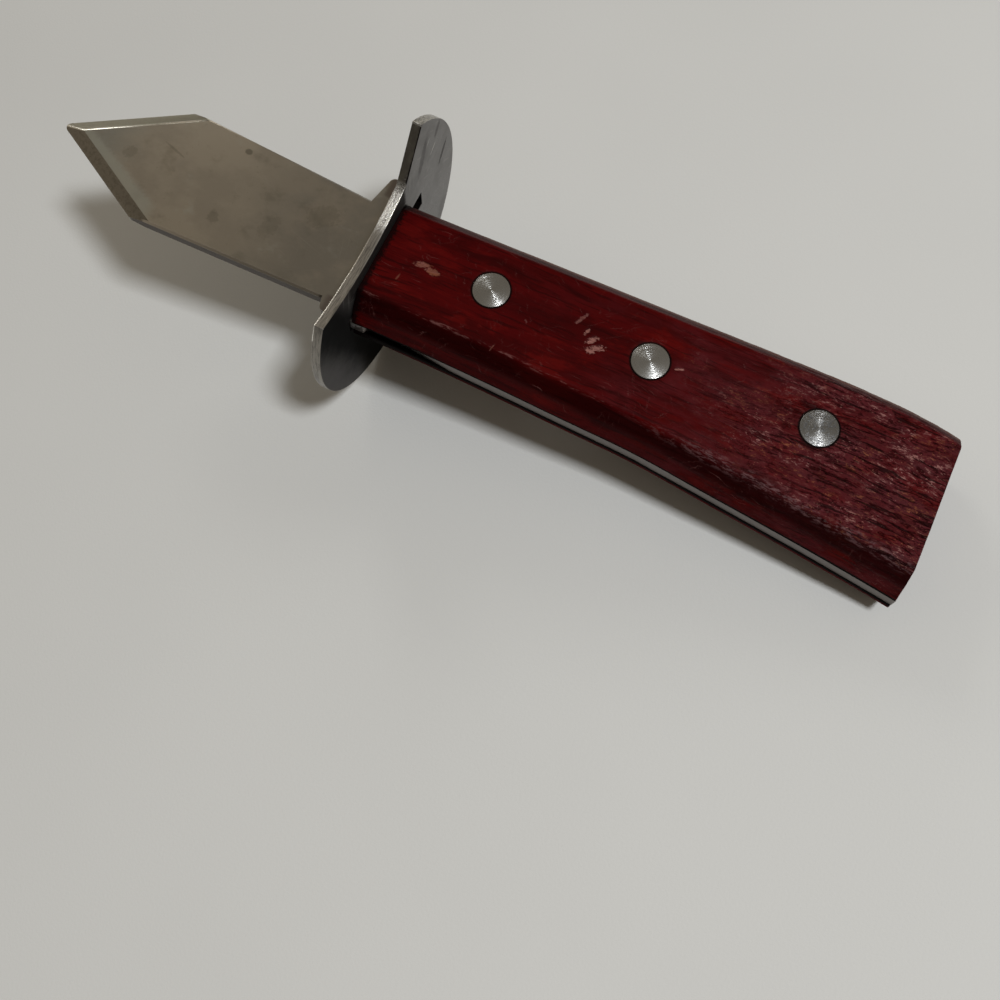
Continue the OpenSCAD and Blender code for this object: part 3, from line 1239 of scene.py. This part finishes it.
    @staticmethod
    def close_up(piece: bpy.types.Object) -> None:
        """Merges doubled corners and drops faces that have no area.

        Args:
            piece: the object.
        """
        Workshop.alone(piece)
        bpy.ops.object.mode_set(mode="EDIT")
        bpy.ops.mesh.select_all(action="SELECT")
        bpy.ops.mesh.remove_doubles(threshold=Workshop.SPECK)
        bpy.ops.mesh.dissolve_degenerate(threshold=Workshop.SPECK)
        bpy.ops.object.mode_set(mode="OBJECT")

    @staticmethod
    def set_down(piece: bpy.types.Object, node: str, slot: Slot, material: bpy.types.Material,
                 smooth: float, crisp: bool = False) -> None:
        """Takes a piece from the flat frame to its place at rest and finishes it.

        Args:
            piece: the object, built in the flat frame in metres.
            node: the CAD node that it stands for.
            slot: the record's material slot; not used.
            material: its finish.
            smooth: edges below this angle are shaded smooth, in degrees.
            crisp: keeps large flat faces evenly shaded up to their rounded edges.
        """
        Workshop.close_up(piece)
        piece.data.transform(REST.matrix)
        piece.data.materials.clear()
        piece.data.materials.append(material)
        Workshop.alone(piece)
        bpy.ops.object.shade_smooth_by_angle(angle=math.radians(smooth))
        if crisp:
            Workshop.apply(piece, "WEIGHTED_NORMAL", weight=80, keep_sharp=True)
        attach(piece, "root")
        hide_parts(node)
        LOG.info("%s: %d faces, stands for %s", piece.name, len(piece.data.polygons), node)


@dataclass
class BladePlate:
    """The steel plate: pointed blade, ears and tang in one piece."""

    edge_round: float = 0.1
    sharp_from: float = 11.0
    hidden_from: float = 3.0
    tang_from: float = 2.0
    near_ear: float = -13.3
    near_root: float = -4.8
    ear_span: tuple[float, float] = (-6.5, 0.1)
    root_side: float = -9.0
    tang_side: float = -8.0
    ear_corner: float = 0.8
    tang_cuts: tuple[float, ...] = (4.2, 4.7, 5.2, 8.0, 11.0, 14.0, 17.0, 21.0, 25.0)
    ridge_round: float = 0.22
    scratches: tuple[Scratches, ...] = (
        Scratches(18.0, 9.0, 0.12, 0.16, 1.0),
        Scratches(-32.0, 6.0, 0.12, 0.12, 4.0),
        Scratches(74.0, 5.0, 0.14, 0.12, 7.0),
    )
    stains: tuple[Mark, ...] = (
        Mark((-30.9, 9.7), 1.7, 1.5, 0.0, 0.6, 0.75),
        Mark((-30.3, -5.05), 2.4, 2.8, 20.0, 1.6, 0.35),
        Mark((-43.5, 4.3), 5.4, 0.5, -18.0, 0.8, 0.35),
        Mark((-51.0, 0.5), 3.4, 2.6, 40.0, 1.6, 0.3),
        Mark((-20.0, -2.5), 6.0, 3.4, 70.0, 1.8, 0.25),
        Mark((-12.0, 3.5), 7.0, 5.0, 30.0, 1.8, 0.3),
    )

    def _divide_tang(self, piece: bpy.types.Object) -> None:
        """Cuts the tang across, so that its near edge can be dented.

        Args:
            piece: the plate, in the flat frame.
        """
        Workshop.alone(piece)
        bpy.ops.object.mode_set(mode="EDIT")
        for x in self.tang_cuts:
            bpy.ops.mesh.select_all(action="SELECT")
            bpy.ops.mesh.bisect(plane_co=(x * MM, 0.0, 0.0), plane_no=(1.0, 0.0, 0.0))
        bpy.ops.object.mode_set(mode="OBJECT")

    def _trim(self, piece: bpy.types.Object) -> None:
        """Shortens the near ear and dents the tang's near edge.

        Args:
            piece: the plate, in the flat frame.
        """
        front, back = self.ear_span
        for corner in piece.data.vertices:
            x, y = corner.co.x / MM, corner.co.y / MM
            if x > self.tang_from and y < self.tang_side:
                corner.co.y += (HANDLE.worn(x, y) + HANDLE.recess(x)) * MM
            elif front < x < back and y < self.near_ear:
                corner.co.y = self.near_ear * MM
            elif front < x < self.near_root and y < self.root_side:
                corner.co.x = self.near_root * MM
        piece.data.update()

    @staticmethod
    def _ear_end(at: Vector) -> bool:
        """True on the upright corners at the outer ends of the ears."""
        return -4.6 < at.x < -3.8 and abs(at.z) < 0.1 and abs(at.y) > 12.0

    @staticmethod
    def _ridge(at: Vector) -> bool:
        """True on the upper ridge of the far bevel and on the one at the tip.

        Args:
            at: an edge's middle, in millimetres of the flat frame.

        Returns:
            Whether it is such an edge.
        """
        far_bevel = at.z > 1.3 and at.y > 0.9
        tip = at.x < -62.0 and 0.6 < at.z < 1.1
        return at.x < -43.0 and (far_bevel or tip)

    def _open(self, at: Vector) -> bool:
        """True where the plate shows, and not inside the handle."""
        return at.x < self.hidden_from or abs(at.y) > 9.0

    def build(self) -> None:
        """Builds and dresses the plate."""
        piece = Workshop.flat_copy("blade", "blade_plate")
        self._divide_tang(piece)
        self._trim(piece)
        Workshop.round_edges(piece, self.ear_corner, 4, 25.0, self._ear_end)
        Workshop.round_edges(piece, self.ridge_round, 3, self.sharp_from, self._ridge)
        Workshop.round_edges(piece, self.edge_round, 2, self.sharp_from, self._open)
        finish = SatinSteel("stained_plate_steel", self.scratches, self.stains)
        Workshop.set_down(piece, "blade", Slot.BLADE, finish.material(), 30.0, crisp=True)


@dataclass
class DiscGuard:
    """The punched disc with its cut upper side."""

    edge_round: float = 0.12
    scratches: tuple[Scratches, ...] = (
        Scratches(100.0, 7.0, 0.14, 0.35, 2.0),
        Scratches(35.0, 4.0, 0.14, 0.25, 5.0),
    )

    def build(self) -> None:
        """Builds and dresses the guard."""
        piece = Workshop.flat_copy("guard", "disc_guard")
        Workshop.round_edges(piece, self.edge_round, 2, 40.0, lambda at: True)
        finish = ShearedSteel("sheared_guard_steel", self.scratches)
        Workshop.set_down(piece, "guard", Slot.GUARD, finish.material(), 35.0, crisp=True)


@dataclass(frozen=True)
class WoodWear:
    """How deep and how wide the wear of the wood is, in millimetres."""

    wave: float = 0.16
    ripple: float = 0.07
    line: float = 0.2
    pit: float = 0.16
    pit_floor: float = 0.05
    lip: float = 0.12
    lip_width: float = 0.35
    chip: float = 0.12
    flush_gap: float = 0.3
    flush_ramp: float = 2.2
    torn_from: float = 52.0
    torn_wander: float = 14.0
    torn_ramp: float = 34.0
    butt_gap: float = 0.3
    butt_ramp: float = 2.5
    rivet_ramp: float = 2.6
    rivet_reach: float = 6.0


@dataclass
class Scale:
    """One wooden half of the handle."""

    side: Side
    pitch: float = 0.36
    side_pitch: float = 0.27
    side_length: float = 10.4
    middle_faces: int = 44
    under_faces: int = 10
    corner_soft: float = 0.45
    end_round: float = 0.35
    head_radius: float = 3.4
    shank_radius: float = 2.2
    head_seat: float = 5.9
    bit_height: float = 4.0
    bit_sides: int = 72
    shank_reach: float = 7.0
    wear: WoodWear = WoodWear()
    chips: tuple[Mark, ...] = (
        Mark((10.4, -0.4), 3.2, 1.1, 16.0, 2.2),
        Mark((12.6, -0.9), 3.0, 1.6, -4.0, 2.4),
        Mark((39.6, 1.8), 3.2, 0.7, 62.0, 2.6, 0.45),
        Mark((41.5, 0.1), 1.5, 0.7, 70.0, 2.4, 0.8),
        Mark((42.8, -1.2), 2.4, 1.1, 50.0, 2.8),
        Mark((44.2, -2.1), 2.6, 1.1, 25.0, 2.8),
        Mark((43.2, -3.1), 2.0, 0.9, 0.0, 2.8),
        Mark((58.3, 0.2), 1.7, 0.5, 20.0, 1.4),
        Mark((7.6, -4.2), 2.0, 0.35, 80.0, 2.4, 0.5),
        Mark((28.0, -9.4), 1.6, 0.3, 70.0, 2.4, 0.5),
    )

    @property
    def node(self) -> str:
        """The CAD node that this scale stands for."""
        return "upper_scale" if self.side is Side.UPPER else "lower_scale"

    def _ring(self) -> list[Point]:
        """The section as points round it: share of the way across, step inwards, height.

        Returns:
            The points, in order.
        """
        count = round(self.side_length / self.side_pitch)
        sides = [
            HANDLE.section(self.side_length * step / count, self.corner_soft)
            for step in range(count + 1)
        ]
        inmost = sides[-1]
        ring = [(0.0, point.x, point.y) for point in sides]
        ring += [
            (step / self.middle_faces, inmost.x, inmost.y)
            for step in range(1, self.middle_faces)
        ]
        ring += [(1.0, point.x, point.y) for point in reversed(sides)]
        ring += [
            (1.0 - step / self.under_faces, 0.0, HANDLE.plate_half)
            for step in range(1, self.under_faces)
        ]
        return ring

    def _wrapped(self) -> bpy.types.Object:
        """A fine grid wrapped round the section from the guard to the butt, and closed.

        Returns:
            The new object.
        """
        ring = self._ring()
        length = HANDLE.reach - HANDLE.start
        bpy.ops.object.select_all(action="DESELECT")
        bpy.ops.mesh.primitive_grid_add(
            x_subdivisions=round(length / self.pitch), y_subdivisions=len(ring), size=1.0
        )
        piece = bpy.context.object
        piece.name = self.node + "_wood"
        for corner in piece.data.vertices:
            x = HANDLE.start + (corner.co.x + 0.5) * length
            share, step, height = ring[round((corner.co.y + 0.5) * len(ring)) % len(ring)]
            near, far = HANDLE.near(x) + step, HANDLE.far(x) - step
            corner.co = Vector((x, near + (far - near) * share, height * self.side.value)) * MM
        bpy.ops.object.mode_set(mode="EDIT")
        bpy.ops.mesh.select_all(action="SELECT")
        bpy.ops.mesh.remove_doubles(threshold=Workshop.WELD)
        bpy.ops.mesh.fill_holes(sides=0)
        bpy.ops.mesh.normals_make_consistent(inside=False)
        bpy.ops.object.mode_set(mode="OBJECT")
        Workshop.round_edges(
            piece, self.end_round, 3, 60.0,
            lambda at: at.x > HANDLE.reach - 0.01 and abs(at.z) > HANDLE.plate_half + 0.1,
        )
        return piece

    def _depth(self, at: Vector, seed: float) -> float:
        """How deep the wood is worn or torn at a point, in millimetres.

        It is nothing beside the tang, so that wood and steel meet.

        Args:
            at: a point of the surface, in millimetres of the flat frame.
            seed: moves the pattern.

        Returns:
            The depth, never below 0.
        """
        wear = self.wear
        wave = 0.5 + 0.5 * noise.noise(Vector((at.x * 0.035, at.y * 0.09, at.z * 0.09 + seed)))
        ripple = 0.5 + 0.5 * noise.noise(Vector((at.x * 0.16, at.y * 0.3 + seed, at.z * 0.3)))
        depth = wear.wave * wave + wear.ripple * ripple
        flush = clamped((abs(at.z) - HANDLE.plate_half - wear.flush_gap) / wear.flush_ramp)
        wandering = at.x - wear.torn_from + wear.torn_wander * (wave - 0.5)
        rough = clamped(wandering / wear.torn_ramp)
        rough *= clamped((HANDLE.reach - wear.butt_gap - at.x) / wear.butt_ramp)
        if rough > 0.0:
            line = noise.noise(Vector((at.x * 0.22, at.y * 1.25 + seed, at.z * 1.25)))
            pit = noise.noise(Vector((at.x * 0.6 + seed, at.y * 1.5, at.z * 1.5)))
            pit = max(pit - wear.pit_floor, 0.0)
            depth += rough * (wear.line * max(line, 0.0) + wear.pit * pit)
        for spot in RIVET_SPOTS:
            away = math.hypot(at.x - spot[0], at.y - spot[1])
            if away < wear.rivet_reach:
                beyond = away - self.head_radius
                depth *= clamped(beyond / wear.rivet_ramp)
                depth += wear.lip * math.exp(-((beyond / wear.lip_width) ** 2))
        if self.side is Side.UPPER:
            for chip in self.chips:
                away = Vector((at.x - chip.centre[0], at.y - chip.centre[1]))
                away.rotate(Matrix.Rotation(math.radians(-chip.degrees), 2))
                size = math.hypot(away.x * 2 / chip.length, away.y * 2 / chip.width)
                depth += wear.chip * chip.amount * clamped((1.15 - size) / 0.4)
        return depth * flush

    def _weather(self, piece: bpy.types.Object) -> None:
        """Moves the outer faces inwards by small amounts, as wear and open grain do.

        Args:
            piece: the scale's wood, in the flat frame.
        """
        seed = 0.0 if self.side is Side.UPPER else 37.0
        outwards = [corner.normal.copy() for corner in piece.data.vertices]
        for corner, outward in zip(piece.data.vertices, outwards):
            at = corner.co / MM
            corner.co -= outward * (self._depth(at, seed) * MM)
            corner.co.y += HANDLE.worn(at.x, at.y) * MM
            if self.side is Side.LOWER and at.y < 0.0:
                corner.co.y -= HANDLE.bulging(at.y - HANDLE.near(at.x), abs(at.z)) * MM
        piece.data.update()

    def _cutter(self, spot: tuple[float, float]) -> bpy.types.Object:
        """A stepped bit for one rivet's head and shank.

        Args:
            spot: the X and Y of the rivet.

        Returns:
            The bit.
        """
        facing = self.side.value
        middle = facing * (self.head_seat + self.bit_height / 2)
        bit = Workshop.cylinder(spot, middle, self.head_radius, self.bit_height, self.bit_sides)
        bpy.ops.object.mode_set(mode="EDIT")
        Workshop.pick_end(bit, -facing)
        Workshop.inset(self.head_radius - self.shank_radius)
        Workshop.extrude(-facing * self.shank_reach)
        bpy.ops.object.mode_set(mode="OBJECT")
        return bit

    def _drill(self, piece: bpy.types.Object) -> None:
        """Cuts the three stepped rivet holes.

        Args:
            piece: the scale's wood, in the flat frame.
        """
        bits = [self._cutter(spot) for spot in RIVET_SPOTS]
        Workshop.alone(bits[0])
        for bit in bits[1:]:
            bit.select_set(True)
        bpy.ops.object.join()
        Workshop.apply(piece, "BOOLEAN", operation="DIFFERENCE", object=bits[0], solver="MANIFOLD")
        bpy.data.objects.remove(bits[0], do_unlink=True)

    def build(self) -> None:
        """Builds and dresses the scale."""
        piece = self._wrapped()
        self._weather(piece)
        self._drill(piece)
        seen = self.side is Side.UPPER
        chips = self.chips if seen else ()
        finish = StainedWood("stained_hardwood_" + self.side.name.lower(), chips, not seen)
        Workshop.set_down(piece, self.node, Slot.WOOD, finish.material(), 40.0)


@dataclass
class Rivet:
    """One two-part rivet: the pin half from above and the tube half from below."""

    place: str
    spot: tuple[float, float]
    lean: tuple[float, float]
    worn: float
    sides: int = 96
    head_radius: float = 3.3
    head_thickness: float = 1.6
    pin_radius: float = 1.3
    tube_radius: float = 2.1
    bore_radius: float = 1.33
    rim: float = 0.14
    end_gap: float = 0.4
    pin_chamfer: float = 0.2

    def _head(self, name: str, side: Side) -> bpy.types.Object:
        """A round head with a rounded rim, in edit mode.

        Args:
            name: the new piece's name.
            side: the face of the handle that it lies in.

        Returns:
            The new object.
        """
        middle = side.value * (HANDLE.half_thickness - self.head_thickness / 2)
        piece = Workshop.cylinder(
            self.spot, middle, self.head_radius, self.head_thickness, self.sides
        )
        piece.name = name
        bpy.ops.object.mode_set(mode="EDIT")
        Workshop.pick_end(piece, side.value)
        bpy.ops.mesh.bevel(offset=self.rim * MM, segments=3, affect="EDGES")
        return piece

    @property
    def shank(self) -> float:
        """The length of a half from its head to its open end, in millimetres."""
        return 2 * (HANDLE.half_thickness - self.head_thickness) - self.end_gap

    def _pin(self) -> bpy.types.Object:
        """The upper half: a head on a solid pin.

        Returns:
            The new object.
        """
        piece = self._head(f"{self.place}_rivet_pin_turned", Side.UPPER)
        Workshop.pick_end(piece, -1.0)
        Workshop.inset(self.head_radius - self.pin_radius)
        Workshop.extrude(-self.shank)
        bpy.ops.mesh.bevel(offset=self.pin_chamfer * MM, segments=1, affect="EDGES")
        bpy.ops.object.mode_set(mode="OBJECT")
        return piece

    def _socket(self) -> bpy.types.Object:
        """The lower half: a head on a tube.

        Returns:
            The new object.
        """
        piece = self._head(f"{self.place}_rivet_socket_turned", Side.LOWER)
        Workshop.pick_end(piece, 1.0)
        Workshop.inset(self.head_radius - self.tube_radius)
        Workshop.extrude(self.shank)
        Workshop.inset(self.tube_radius - self.bore_radius)
        Workshop.extrude(-self.shank)
        bpy.ops.object.mode_set(mode="OBJECT")
        return piece

    def build(self) -> None:
        """Builds and dresses both halves."""
        for half, made in (("pin", self._pin()), ("socket", self._socket())):
            label = f"{self.place}_{half}"
            face = TurnedFace("turned_face_" + label, self.spot, self.lean, self.worn)
            Workshop.set_down(made, f"{self.place}_rivet_{half}", Slot.RIVET, face.material(), 30.0)


@dataclass
class Studio:
    """The pale table, the soft lamps, the room's light and the camera."""

    eye: Point = (82.113, -87.723, 204.188)
    aim: Point = (11.751, -27.584, 0.0)
    roll: float = 25.773
    lens: float = 43.23
    sensor: float = 36.0
    table_size: float = 3.0
    table_colour: Colour = (0.6, 0.595, 0.575)
    blotch_shade: float = 0.93
    blotch_amount: float = 0.35
    weave_height: float = 0.03
    key_azimuth: float = -7.0
    key_elevation: float = 58.5
    lamp_distance: float = 1.0
    key_size: float = 0.14
    key_watts: float = 7.3
    key_colour: Colour = (0.93, 0.965, 1.0)
    window_azimuth: float = 132.0
    window_elevation: float = 36.0
    window_size: float = 0.25
    window_watts: float = 1.0
    window_colour: Colour = (1.0, 1.0, 0.96)
    room: Colour = (0.285, 0.25, 0.2)
    near_shade: float = 0.75

    def table(self) -> None:
        """Adds the table that the knife lies on."""
        bpy.ops.object.select_all(action="DESELECT")
        bpy.ops.mesh.primitive_plane_add(size=self.table_size, location=(0.0, 0.0, 0.0))
        table = bpy.context.object
        table.name = "table"
        sheet = NodeSheet.of_material("pale_cloth")
        place = sheet.node("ShaderNodeTexCoord", output="Object")
        weave = sheet.noise(place, (1800.0, 1800.0, 1.0), 2.0, 0.6)
        tone = sheet.noise(place, (14.0, 14.0, 1.0), 2.0, 0.5)
        darker = tuple(part * self.blotch_shade for part in self.table_colour)
        colour = sheet.mix(tone.step(0.3, 0.7) * self.blotch_amount, self.table_colour, darker)
        cloth = sheet.finish(
            Base_Color=colour, Roughness=0.95, Normal=sheet.bump(weave * self.weave_height),
            Specular_IOR_Level=0.1,
        )
        table.data.materials.append(cloth)
        table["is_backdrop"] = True

    def lamp(self, name: str, azimuth: float, elevation: float, distance: float, size: float,
             watts: float, colour: Colour) -> None:
        """A square soft lamp that looks at the knife.

        Args:
            name: the lamp's name.
            azimuth: its direction, from +X towards +Y, in degrees.
            elevation: its height above the horizon, in degrees.
            distance: how far it is, in metres.
            size: its side, in metres.
            watts: its power.
            colour: its colour.
        """
        turn, lift = math.radians(azimuth), math.radians(elevation)
        level = math.cos(lift)
        towards = Vector((math.cos(turn) * level, math.sin(turn) * level, math.sin(lift)))
        data = bpy.data.lights.new(name, "AREA")
        data.shape = "SQUARE"
        data.size = size
        data.energy = watts
        data.color = colour
        lamp = bpy.data.objects.new(name, data)
        lamp.location = towards * distance
        lamp.rotation_mode = "QUATERNION"
        lamp.rotation_quaternion = (-towards).to_track_quat("-Z", "Y")
        bpy.context.scene.collection.objects.link(lamp)

    def surroundings(self) -> None:
        """The room's own soft light, which is weaker from the near side."""
        sheet = NodeSheet.of_world("room")
        way = sheet.node("ShaderNodeTexCoord", output="Generated")
        _, y, z = sheet.parts(way)
        shade = (0.0 - y).step(0.05, 0.7) * z.step(0.95, 0.6) * self.near_shade
        colour = sheet.mix(shade, self.room, (0.0, 0.0, 0.0))
        light = sheet.node("ShaderNodeBackground", inputs={"Color": colour, "Strength": 1.0})
        sheet.tree.links.new(light.socket, sheet.output.inputs["Surface"])
        bpy.context.scene.world = sheet.owner

    def camera(self) -> None:
        """The camera at the photograph's place."""
        data = bpy.data.cameras.new("camera")
        data.lens = self.lens
        data.sensor_width = self.sensor
        data.clip_start = 0.01
        data.clip_end = 20.0
        camera = bpy.data.objects.new("camera", data)
        bpy.context.scene.collection.objects.link(camera)
        forward = (Vector(self.aim) - Vector(self.eye)).normalized()
        level = forward.to_track_quat("-Z", "Y").to_matrix()
        camera.rotation_mode = "QUATERNION"
        camera.rotation_quaternion = (
            Matrix.Rotation(math.radians(self.roll), 3, forward) @ level
        ).to_quaternion()
        camera.location = Vector(self.eye) * MM
        bpy.context.scene.camera = camera

    def build(self) -> None:
        """Sets the whole scene around the knife."""
        self.camera()
        self.table()
        self.lamp(
            "key_lamp", self.key_azimuth, self.key_elevation, self.lamp_distance,
            self.key_size, self.key_watts, self.key_colour,
        )
        self.lamp(
            "window_lamp", self.window_azimuth, self.window_elevation, self.lamp_distance,
            self.window_size, self.window_watts, self.window_colour,
        )
        self.surroundings()
        bpy.context.scene.view_settings.view_transform = "Standard"


def corners(box: Iterable[Vector]) -> list[list[float]]:
    """A box's two corners as plain lists."""
    return [list(corner) for corner in box]


def main() -> None:
    """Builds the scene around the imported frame."""
    logging.basicConfig(level=logging.INFO, format="%(message)s")
    cad_box = corners(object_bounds())
    Studio().build()
    BladePlate().build()
    DiscGuard().build()
    for side in Side:
        Scale(side).build()
    places = ("front", "middle", "rear")
    leans = ((0.0, 0.0), (0.01, 0.0), (0.03, 0.01))
    wears = (0.1, 0.15, 0.8)
    for place, spot, lean, worn in zip(places, RIVET_SPOTS, leans, wears):
        Rivet(place, spot, lean, worn).build()
    bpy.ops.object.select_all(action="DESELECT")
    {"cad": cad_box, "visual": corners(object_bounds())}


if __name__ == "__main__":
    main()
